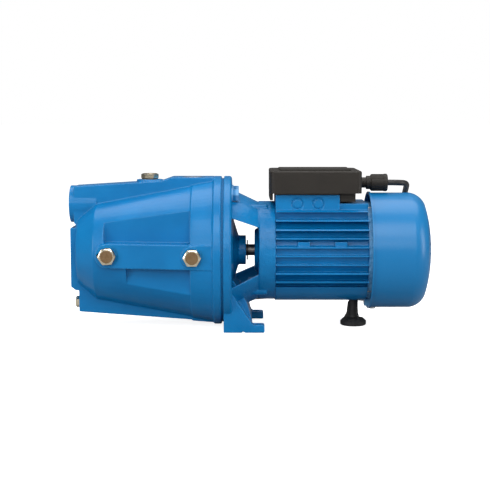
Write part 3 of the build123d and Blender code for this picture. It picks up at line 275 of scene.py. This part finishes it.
# A black cable tie holds the turns together: a flat strap round the coil's section with its small head.
tie_angle = math.radians(200)
tie_inner, tie_outer = inner_ring - 4.6, outer_ring + 4.6
tie_low, tie_high = 0.05, high_layer + 4.2
tie_bend = 2.5
strap_section = ((0, -2.3), (0.9, -1.9), (0.9, 1.9), (0, 2.3))
head_length, head_width, head_height = 0.0034, 0.0062, 0.0058
tie_profile = []
for centre_r, centre_z, first in (
    (tie_outer - tie_bend, tie_high - tie_bend, 0),
    (tie_inner + tie_bend, tie_high - tie_bend, 90),
    (tie_inner + tie_bend, tie_low + tie_bend, 180),
    (tie_outer - tie_bend, tie_low + tie_bend, 270),
):
    for part_turn in range(5):
        bend = math.radians(first + part_turn * 22.5)
        tie_profile.append((centre_r + tie_bend * math.cos(bend), centre_z + tie_bend * math.sin(bend), bend))
strap = bmesh.new()
rings = []
for radius, height, bend in tie_profile:
    ring = []
    for outward, along in strap_section:
        reach = radius + outward * math.cos(bend)
        ring.append(strap.verts.new((
            (coil_centre[0] + reach * math.cos(tie_angle) - along * math.sin(tie_angle)) / 1000,
            (coil_centre[1] + reach * math.sin(tie_angle) + along * math.cos(tie_angle)) / 1000,
            max(height + outward * math.sin(bend), 0.05) / 1000,
        )))
    rings.append(ring)
for ring, following in zip(rings, rings[1:] + rings[:1]):
    for corner in range(4):
        nearby = (corner + 1) % 4
        strap.faces.new((ring[corner], ring[nearby], following[nearby], following[corner]))
tie_head = bmesh.ops.create_cube(strap, size=1.0)["verts"]
head_place = Vector((
    (coil_centre[0] + (tie_outer + 1.2) * math.cos(tie_angle)) / 1000,
    (coil_centre[1] + (tie_outer + 1.2) * math.sin(tie_angle)) / 1000,
    0.0085,
))
head_turn = Matrix.Rotation(tie_angle, 4, "Z")
for corner in tie_head:
    corner.co = head_place + head_turn @ Vector((
        corner.co.x * head_length, corner.co.y * head_width, corner.co.z * head_height
    ))
bmesh.ops.bevel(
    strap,
    geom=list({edge for corner in tie_head for edge in corner.link_edges}),
    offset=0.0006,
    segments=2,
    affect="EDGES",
)
bmesh.ops.recalc_face_normals(strap, faces=strap.faces)
strap_mesh = bpy.data.meshes.new("coil_tie")
strap.to_mesh(strap_mesh)
strap.free()
coil_tie = bpy.data.objects.new("coil_tie", strap_mesh)
bpy.context.scene.collection.objects.link(coil_tie)
nylon = Finish("tie_nylon", {"Specular IOR Level": 0.5})
nylon_ribs = nylon.node(
    "ShaderNodeTexWave",
    {"bands_direction": "Z"},
    {"Vector": nylon.place, "Scale": 220.0, "Distortion": 0.0},
)
nylon.dress(
    nylon.blend(nylon.grain(300), (0.014, 0.014, 0.015, 1), (0.026, 0.026, 0.027, 1)),
    0.32 + 0.1 * nylon_ribs,
    nylon_ribs,
    0.0002,
)
strap_mesh.materials.append(nylon.material)
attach(coil_tie, "root")

# ---- Studio ----
# A white paper floor, wide enough to have no edge in view, under the soft boxes of a product studio: a large
# one above and in front with a low fill behind it, one each side, and one overhead to light the top edges.
floor_mesh = bpy.data.meshes.new("floor")
floor_half = 30.0
floor_mesh.from_pydata(
    [(x * floor_half, y * floor_half, 0) for x, y in ((-1, -1), (1, -1), (1, 1), (-1, 1))],
    [],
    [(0, 1, 2, 3)],
)
floor = bpy.data.objects.new("floor", floor_mesh)
floor.location.z = -0.0005
bpy.context.scene.collection.objects.link(floor)
paper = bpy.data.materials.new("floor_paper")
paper.use_nodes = True
sheet = paper.node_tree
paper_shader = sheet.nodes["Principled BSDF"]
lit_paper = sheet.nodes.new("ShaderNodeBsdfPrincipled")
paper_shader.inputs["Base Color"].default_value = (0.36, 0.36, 0.36, 1)
lit_paper.inputs["Base Color"].default_value = (0.85, 0.85, 0.85, 1)
for shader in (paper_shader, lit_paper):
    shader.inputs["Roughness"].default_value = 0.9
    shader.inputs["Specular IOR Level"].default_value = 0.1
lit_paper.inputs["Emission Color"].default_value = (1, 1, 1, 1)
lit_paper.inputs["Emission Strength"].default_value = 0.86
paper_rays = sheet.nodes.new("ShaderNodeLightPath")
paper_mix = sheet.nodes.new("ShaderNodeMixShader")
sheet.links.new(paper_rays.outputs["Is Camera Ray"], paper_mix.inputs["Fac"])
sheet.links.new(paper_shader.outputs[0], paper_mix.inputs[1])
sheet.links.new(lit_paper.outputs[0], paper_mix.inputs[2])
sheet.links.new(paper_mix.outputs[0], sheet.nodes["Material Output"].inputs["Surface"])
floor_mesh.materials.append(paper)


def soft_box(name, place, aim, wide, high, watts):
    """A rectangular soft box at place, facing aim."""
    light = bpy.data.lights.new(name, "AREA")
    light.shape = "RECTANGLE"
    light.size = wide
    light.size_y = high
    light.energy = watts
    lamp = bpy.data.objects.new(name, light)
    lamp.location = place
    lamp.rotation_euler = (Vector(aim) - Vector(place)).to_track_quat("-Z", "Y").to_euler()
    bpy.context.scene.collection.objects.link(lamp)
    return lamp


pump_middle = (0, 0, 0.1)
soft_box("front_top_box", (0.05, -1.15, 1.25), pump_middle, 1.5, 0.8, 15)
soft_box("front_fill_box", (-0.1, -1.9, 0.72), pump_middle, 2.2, 0.5, 10)
soft_box("overhead_box", (0, 0.35, 1.7), pump_middle, 2.4, 1.2, 25)
soft_box("right_box", (1.5, -0.55, 0.45), pump_middle, 0.5, 1.0, 9)
soft_box("left_box", (-1.4, -0.95, 0.4), pump_middle, 0.6, 1.0, 10)
studio = bpy.data.worlds.new("studio")
bpy.context.scene.world = studio
studio.use_nodes = True
air = studio.node_tree
air_light = air.nodes["Background"]
air_light.inputs["Color"].default_value = (1, 1, 1, 1)
air_light.inputs["Strength"].default_value = 0.2
air_seen = air.nodes.new("ShaderNodeBackground")
air_seen.inputs["Color"].default_value = (1, 1, 1, 1)
air_seen.inputs["Strength"].default_value = 1.0
air_path = air.nodes.new("ShaderNodeLightPath")
air_mix = air.nodes.new("ShaderNodeMixShader")
air.links.new(air_path.outputs["Is Camera Ray"], air_mix.inputs["Fac"])
air.links.new(air_light.outputs[0], air_mix.inputs[1])
air.links.new(air_seen.outputs[0], air_mix.inputs[2])
air.links.new(air_mix.outputs[0], air.nodes["World Output"].inputs["Surface"])
bpy.context.scene.view_settings.view_transform = "Standard"

# ---- Pump body ----
# One iron casting: the drum that holds the ejector and the diffuser, the suction boss at the front, the
# ridge with the delivery port on top, and the flange. Sand cast, machined, then dipped in blue paint, so
# every edge has a small radius and the skin keeps a fine grain.
def cast(name, grain, passes, faces):
    """A copy of a node's shape with the small radii that a casting has along every edge."""
    shape = nodes[name].data.copy()
    weld = bmesh.new()
    weld.from_mesh(shape)
    bmesh.ops.remove_doubles(weld, verts=weld.verts, dist=0.000002)
    weld.to_mesh(shape)
    weld.free()
    piece = bpy.data.objects.new(name + "_casting", shape)
    bpy.context.scene.collection.objects.link(piece)
    skin = piece.modifiers.new("skin", "REMESH")
    skin.mode = "VOXEL"
    skin.voxel_size = grain * 1.0
    radii = piece.modifiers.new("radii", "SMOOTH")
    radii.factor = 0.5
    radii.iterations = passes
    settle_modifiers(piece)
    lighter = piece.modifiers.new("lighter", "DECIMATE")
    lighter.ratio = min(1.0, faces / (2 * len(piece.data.polygons)))
    settle_modifiers(piece)
    for polygon in piece.data.polygons:
        polygon.use_smooth = True
    piece.data.materials.clear()
    return piece


def settle_modifiers(piece):
    """Turn a piece's modifiers into plain mesh."""
    bpy.context.view_layer.update()
    worked = bpy.data.meshes.new_from_object(piece.evaluated_get(bpy.context.evaluated_depsgraph_get()))
    piece.modifiers.clear()
    piece.data = worked


def paint(name, light, deep, skin_scale, skin_depth):
    """Blue enamel over a casting: painted shade darkens its hollows, and its edges are lighter, partly for
    paint worn thin and partly as a painted highlight.
    """
    finish = Finish(name, {"Specular IOR Level": 0.27, "Coat Roughness": 0.16, "Coat IOR": 1.45})
    edge = finish.edges()
    patches = finish.grain(22, 3)
    sand = finish.grain(skin_scale, 4, 0.6)
    swell = finish.grain(skin_scale * 0.16, 2)
    colour = finish.blend(finish.step(patches, 0.3, 0.7), deep, light)
    # Painted shade: in hollows and creases the colour is darkened towards a deeper blue.
    painted_hollow_shade = 1 - finish.step(edge, 0.42, 0.5)
    colour = finish.blend(painted_hollow_shade * 0.5, colour, tuple(0.55 * value for value in deep[:3]) + (1,))
    # Along outer edges the colour goes lighter blue: partly paint worn thin, partly a painted highlight.
    worn_edge_and_painted_highlight = finish.step(edge + 0.06 * finish.grain(500, 3), 0.55, 0.64)
    colour = finish.blend(worn_edge_and_painted_highlight * 0.75, colour, (0.20, 0.46, 0.76, 1))
    finish.dress(
        colour,
        0.22 + 0.14 * sand + 0.08 * patches,
        0.65 * sand + 1.2 * swell,
        skin_depth,
        1.0,
        0.06 + 0.12 * patches,
    )
    return finish


iron_paint = paint("paint_on_iron", (0.0, 0.176, 0.445, 1), (0.0, 0.150, 0.390, 1), 650, 0.00016)
pump_casting = cast("pump_body", 0.00075, 2, 150000)
pump_casting.data.materials.append(iron_paint.material)
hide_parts("pump_body")
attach(pump_casting, "root")
paint_nodes(iron_paint, "pump_body")

# Both ports have a tapped pipe thread, cut bright into the iron. The thread is a strip of turns inside the
# bore, its crests just proud of the bore's wall.
pipe_radius, thread_pitch, thread_depth = 0.01514, 0.002309, 0.0011
thread_length, mouth_chamfer = 0.0165, 0.0012
suction_height, delivery_station = 0.1457, -0.075


def tapped(name, mouth, inward, side_a, side_b):
    """Thread strip in a bore: mouth is the bore's end, inward runs down its axis."""
    strip = bmesh.new()
    steps = 72
    rows = round(thread_length / thread_pitch * 4)
    grid = []
    for row in range(rows + 1):
        line = []
        for step in range(steps):
            turn = 2 * math.pi * step / steps
            depth = thread_length * row / rows
            phase = (depth / thread_pitch - step / steps) % 1.0
            crest = 1 - abs(2 * phase - 1)
            radius = pipe_radius - 0.00005 - thread_depth * crest * min(1.0, 6 * row / rows)
            line.append(strip.verts.new(
                mouth + inward * depth + side_a * radius * math.cos(turn) + side_b * radius * math.sin(turn)
            ))
        grid.append(line)
    for line, following in zip(grid, grid[1:]):
        for step in range(steps):
            nearby = (step + 1) % steps
            strip.faces.new((line[step], line[nearby], following[nearby], following[step]))
    mesh = bpy.data.meshes.new(name)
    strip.to_mesh(mesh)
    strip.free()
    piece = bpy.data.objects.new(name, mesh)
    bpy.context.scene.collection.objects.link(piece)
    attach(piece, "root")
    return piece


bare_iron = Finish("tapped_iron", {"Metallic": 0.9})
iron_cut = bare_iron.grain(1400, 4, 0.65)
rust = bare_iron.step(bare_iron.grain(120, 4), 0.4, 0.7)
bare_iron.dress(
    bare_iron.blend(rust, (0.34, 0.34, 0.35, 1), (0.20, 0.17, 0.14, 1)),
    0.34 + 0.22 * iron_cut,
    iron_cut,
    0.00005,
)
body_low, body_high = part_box("pump_body")
along_x, along_y, along_z = Vector((1, 0, 0)), Vector((0, 1, 0)), Vector((0, 0, 1))
suction_mouth = Vector((body_low.x + mouth_chamfer, 0, suction_height))
delivery_mouth = Vector((delivery_station, 0, body_high.z - mouth_chamfer))
suction_thread = tapped("suction_thread", suction_mouth, along_x, along_y, along_z)
delivery_thread = tapped("delivery_thread", delivery_mouth, -along_z, along_x, along_y)
for thread in (suction_thread, delivery_thread):
    thread.data.materials.append(bare_iron.material)

# ---- Plugs and washers ----
# Brass hexagon plugs close the priming hole on top, the two gauge holes on the near side and the drain at
# the front. They are turned from bar, with a bright chamfer, on dark fibre washers.


def plug_brass(name, across, face_radius, *axes):
    """Turned brass, dulled on the face inside the chamfer; axes are points that the plugs' axes pass."""
    finish = Finish(name, {"Metallic": 1.0})
    flattened = finish.stretched(across)
    turn = finish.grain(900, 3, 0.6)
    tarnish = finish.step(finish.grain(160, 4, 0.6), 0.35, 0.7)
    face = None
    for axis in axes:
        sockets = {0: flattened, 1: axis}
        distance = finish.node("ShaderNodeVectorMath", {"operation": "DISTANCE"}, sockets, "Value")
        inside = 1 - finish.step(distance, face_radius - 0.0004, face_radius + 0.0003)
        face = inside if face is None else face + inside
    bright = finish.blend(tarnish, (0.90, 0.83, 0.66, 1), (0.74, 0.65, 0.46, 1))
    dull = finish.blend(tarnish, (0.33, 0.215, 0.115, 1), (0.235, 0.150, 0.080, 1))
    finish.dress(
        finish.blend(face, bright, dull),
        0.16 + 0.10 * tarnish + 0.20 * face,
        turn + 1.5 * face * finish.grain(600, 4, 0.7),
        0.00006,
    )
    return finish


near_low, near_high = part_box("gauge_plugs")
shaft_height = 0.0905
plug_corner = 0.0104
plug_face_radius, drain_face_radius = 0.0074, 0.0048
gauge_brass = plug_brass(
    "gauge_plug_brass", (1, 0, 1), plug_face_radius,
    (near_low.x + plug_corner, 0, shaft_height), (near_high.x - plug_corner, 0, shaft_height),
)
top_low, top_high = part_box("priming_plug")
top_middle = (top_low.x + top_high.x) / 2
top_brass = plug_brass("priming_plug_brass", (1, 1, 0), plug_face_radius, (top_middle, 0, 0))
drain_low, drain_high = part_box("drain_plug")
drain_middle = (drain_low.z + drain_high.z) / 2
drain_brass = plug_brass("drain_plug_brass", (0, 1, 1), drain_face_radius, (0, 0, drain_middle))
paint_nodes(gauge_brass, "gauge_plugs")
paint_nodes(top_brass, "priming_plug")
paint_nodes(drain_brass, "drain_plug")
fibre = Finish("fibre_washer", {"Specular IOR Level": 0.3})
fibre_weave = fibre.grain(1400, 5, 0.7)
fibre.dress(
    fibre.blend(fibre_weave, (0.030, 0.028, 0.026, 1), (0.075, 0.068, 0.060, 1)),
    0.62 + 0.2 * fibre_weave,
    fibre_weave,
    0.0001,
)
paint_nodes(fibre, "priming_plug_washer", "gauge_plug_washers", "drain_plug_washer", "terminal_box_gasket")
overpaint = Finish("gasket_under_paint", {"Specular IOR Level": 0.3})
overpaint_grain = overpaint.grain(1100, 4, 0.7)
cover = overpaint.step(overpaint_grain, 0.42, 0.62)
overpaint.dress(
    overpaint.blend(cover, (0.0, 0.085, 0.22, 1), (0.0, 0.15, 0.38, 1)),
    0.5 + 0.2 * overpaint_grain,
    overpaint_grain,
    0.00015,
)
paint_nodes(overpaint, "body_gasket")

# ---- Ejector, diffuser and impeller ----
# Glass-filled moulded plastic: the nozzle and the venturi tube of the ejector, the diffuser bowl with its
# guide vanes, and the closed impeller. Two rubber rings seal the ejector in the body.
moulding = Finish("glass_filled_moulding", {"Specular IOR Level": 0.5})
fibres = moulding.grain(1600, 4, 0.65, moulding.stretched((0.2, 1, 1)))
moulding.dress(
    moulding.blend(fibres, (0.020, 0.020, 0.023, 1), (0.045, 0.045, 0.050, 1)),
    0.32 + 0.2 * fibres,
    fibres,
    0.00006,
)
paint_nodes(moulding, "ejector_nozzle", "venturi_tube", "diffuser", "impeller")
rubber = Finish("moulded_rubber", {"Specular IOR Level": 0.35})
rubber_bloom = rubber.grain(240, 4, 0.6)
rubber_skin = rubber.grain(1800, 3)
rubber.dress(
    rubber.blend(rubber.step(rubber_bloom, 0.35, 0.75), (0.010, 0.010, 0.011, 1), (0.022, 0.021, 0.021, 1)),
    0.48 + 0.22 * rubber_bloom,
    rubber_skin,
    0.00008,
)
paint_nodes(rubber, "nozzle_ring", "venturi_ring", "slinger_ring", "gland_seal")

# ---- Shaft, seal and bearings ----
# Ground steel shaft in two deep groove ball bearings, with a spring-loaded mechanical seal behind the
# impeller: a carbon face in a steel head runs against a ceramic seat.
steel = Finish("ground_steel", {"Metallic": 1.0})
grind = steel.grain(2400, 4, 0.7, steel.stretched((1, 0.12, 0.12)))
steel.dress(
    steel.blend(steel.grain(120, 3), (0.50, 0.50, 0.51, 1), (0.64, 0.64, 0.64, 1)),
    0.20 + 0.22 * grind,
    grind,
    0.00003,
)
paint_nodes(
    steel, "impeller_nut", "impeller_washer", "seal_spring", "front_bearing_inner_ring",
    "front_bearing_outer_ring", "front_bearing_balls", "front_bearing_cage", "rear_bearing_inner_ring",
    "rear_bearing_outer_ring", "rear_bearing_balls", "rear_bearing_cage", "wave_washer", "fan_clip",
)
shaft_steel = Finish("shaft_steel", {"Metallic": 1.0})
shaft_turn = shaft_steel.grain(2600, 4, 0.7, shaft_steel.stretched((1, 0.1, 0.1)))
oil = shaft_steel.step(shaft_steel.grain(70, 4), 0.4, 0.65)
shaft_steel.dress(
    shaft_steel.blend(oil, (0.34, 0.33, 0.32, 1), (0.16, 0.145, 0.13, 1)),
    0.26 + 0.2 * oil + 0.1 * shaft_turn,
    shaft_turn,
    0.00004,
)
paint_nodes(shaft_steel, "shaft")
ceramic = Finish("seal_ceramic", {"Specular IOR Level": 0.6})
ceramic_speck = ceramic.grain(1500, 5, 0.7)
ceramic.dress(
    ceramic.blend(ceramic.step(ceramic_speck, 0.55, 0.7), (0.80, 0.78, 0.72, 1), (0.66, 0.63, 0.57, 1)),
    0.18 + 0.12 * ceramic_speck,
    ceramic_speck,
    0.00002,
)
paint_nodes(ceramic, "seal_fixed_seat")
carbon = Finish("seal_carbon", {"Specular IOR Level": 0.5})
carbon_grain = carbon.grain(2200, 5, 0.7)
carbon.dress(
    carbon.blend(carbon_grain, (0.020, 0.020, 0.022, 1), (0.060, 0.060, 0.064, 1)),
    0.34 + 0.2 * carbon_grain,
    carbon_grain,
    0.00004,
)
paint_nodes(carbon, "seal_rotating_head")

# ---- Lantern bracket ----
# Iron casting between pump and motor: flange, seal housing, two arms, bearing housing and both feet in one
# piece. Its skin is coarser than the body's, and it wears the same paint.
bracket_paint = paint("paint_on_bracket", (0.0, 0.182, 0.450, 1), (0.0, 0.152, 0.392, 1), 480, 0.0007)
bracket_casting = cast("lantern_bracket", 0.00065, 2, 130000)
bracket_casting.data.materials.append(bracket_paint.material)
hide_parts("lantern_bracket")
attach(bracket_casting, "root")
paint_nodes(bracket_paint, "lantern_bracket", "body_bolts", "body_bolt_washers")

# ---- Motor ----
# Die-cast aluminium housing with nine cooling fins a side, closed by a rear shield on four tie rods. The
# stator's stacked sheets and varnished winding sit inside it, round the cage rotor.
housing_paint = paint("paint_on_housing", (0.0, 0.182, 0.455, 1), (0.0, 0.156, 0.400, 1), 1100, 0.0001)
housing_casting = cast("motor_housing", 0.00055, 2, 140000)
housing_casting.data.materials.append(housing_paint.material)
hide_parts("motor_housing")
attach(housing_casting, "root")
paint_nodes(housing_paint, "motor_housing", "rear_end_shield")
laminations = Finish("stacked_sheets", {"Metallic": 1.0})
sheet_lines = laminations.node(
    "ShaderNodeTexWave",
    {"wave_type": "BANDS", "bands_direction": "X", "wave_profile": "SAW"},
    {"Vector": laminations.place, "Scale": 320.0, "Distortion": 0.4, "Detail": 1.0},
)
laminations.dress(
    laminations.blend(laminations.grain(150, 4), (0.20, 0.21, 0.23, 1), (0.36, 0.36, 0.38, 1)),
    0.36 + 0.2 * sheet_lines,
    sheet_lines,
    0.00006,
)
paint_nodes(laminations, "stator_core", "rotor_core")
aluminium = Finish("cast_aluminium", {"Metallic": 1.0})
aluminium_skin = aluminium.grain(900, 4, 0.65)
aluminium.dress(
    aluminium.blend(aluminium_skin, (0.52, 0.52, 0.53, 1), (0.70, 0.70, 0.71, 1)),
    0.38 + 0.2 * aluminium_skin,
    aluminium_skin,
    0.00008,
)
paint_nodes(aluminium, "rotor_cage")
winding = Finish("varnished_winding", {"Metallic": 0.7, "Coat Roughness": 0.15})
wires = winding.node(
    "ShaderNodeTexWave",
    {"wave_type": "BANDS", "bands_direction": "DIAGONAL"},
    {"Vector": winding.place, "Scale": 230.0, "Distortion": 2.2, "Detail": 2.0, "Detail Scale": 1.4},
)
winding.dress(
    winding.blend(winding.grain(90, 3), (0.42, 0.16, 0.06, 1), (0.56, 0.25, 0.11, 1)),
    0.28 + 0.22 * wires,
    wires,
    0.0004,
    1.0,
    0.3 + 0.4 * winding.grain(40),
)
paint_nodes(winding, "stator_winding")
zinc = Finish("zinc_plate", {"Metallic": 1.0})
zinc_spangle = zinc.grain(420, 4, 0.6)
zinc.dress(
    zinc.blend(zinc_spangle, (0.52, 0.53, 0.55, 1), (0.70, 0.70, 0.68, 1)),
    0.28 + 0.2 * zinc_spangle,
    zinc_spangle,
    0.00004,
)
paint_nodes(zinc, "tie_rods", "fan_cover_screws", "terminal_box_lid_screws", "support_foot_screw")

# ---- Fan and fan cover ----
# A black moulded fan on the shaft's end, inside a cover pressed from 1.2 mm steel sheet and painted. The
# sheet's paint is smoother and a shade lighter than the castings', and glossy enough to show the lights.
sheet_paint = Finish(
    "paint_on_sheet", {"Specular IOR Level": 0.36, "Coat Roughness": 0.2, "Coat IOR": 1.45}
)
peel = sheet_paint.grain(260, 2)
dust = sheet_paint.step(sheet_paint.grain(1700, 3), 0.62, 0.74)
sheet_tone = sheet_paint.blend(sheet_paint.grain(16, 2), (0.0, 0.160, 0.405, 1), (0.0, 0.170, 0.422, 1))
sheet_paint.dress(
    sheet_paint.blend(dust * 0.12, sheet_tone, (0.25, 0.45, 0.70, 1)),
    0.34 + 0.10 * sheet_paint.grain(30),
    peel,
    0.00005,
    1.0,
    0.16 + 0.16 * sheet_paint.grain(12),
)
paint_nodes(sheet_paint, "fan_cover")

# ---- Terminal box ----
# Two black plastic mouldings on a gasket, with a fine spark texture, screwed down over the capacitor and
# the terminal block.
black_plastic = Finish("spark_textured_plastic", {"Specular IOR Level": 0.32})
spark = black_plastic.grain(1500, 5, 0.7)
black_plastic.dress(
    black_plastic.blend(black_plastic.grain(45, 3), (0.013, 0.0105, 0.008, 1), (0.021, 0.017, 0.013, 1)),
    0.40 + 0.22 * spark,
    spark,
    0.00012,
)
paint_nodes(black_plastic, "terminal_box_base", "terminal_box_lid", "gland_body", "gland_nut", "fan")
can = Finish("capacitor_case", {"Specular IOR Level": 0.5})
can_grain = can.grain(700, 3)
can.dress(
    can.blend(can.grain(60), (0.66, 0.66, 0.63, 1), (0.76, 0.75, 0.72, 1)),
    0.3 + 0.15 * can_grain,
    can_grain,
    0.00004,
)
paint_nodes(can, "run_capacitor")
terminals = Finish("terminal_moulding", {"Specular IOR Level": 0.5})
terminal_grain = terminals.grain(900, 3)
terminals.dress(
    terminals.blend(terminals.grain(80), (0.70, 0.69, 0.62, 1), (0.80, 0.79, 0.73, 1)),
    0.3 + 0.15 * terminal_grain,
    terminal_grain,
    0.00004,
)
paint_nodes(terminals, "terminal_block")

# ---- Rubber foot ----
# A turned-down rubber foot with three ribs, screwed up into the belly of the housing, holds the motor's
# end level.
paint_nodes(rubber, "support_foot")
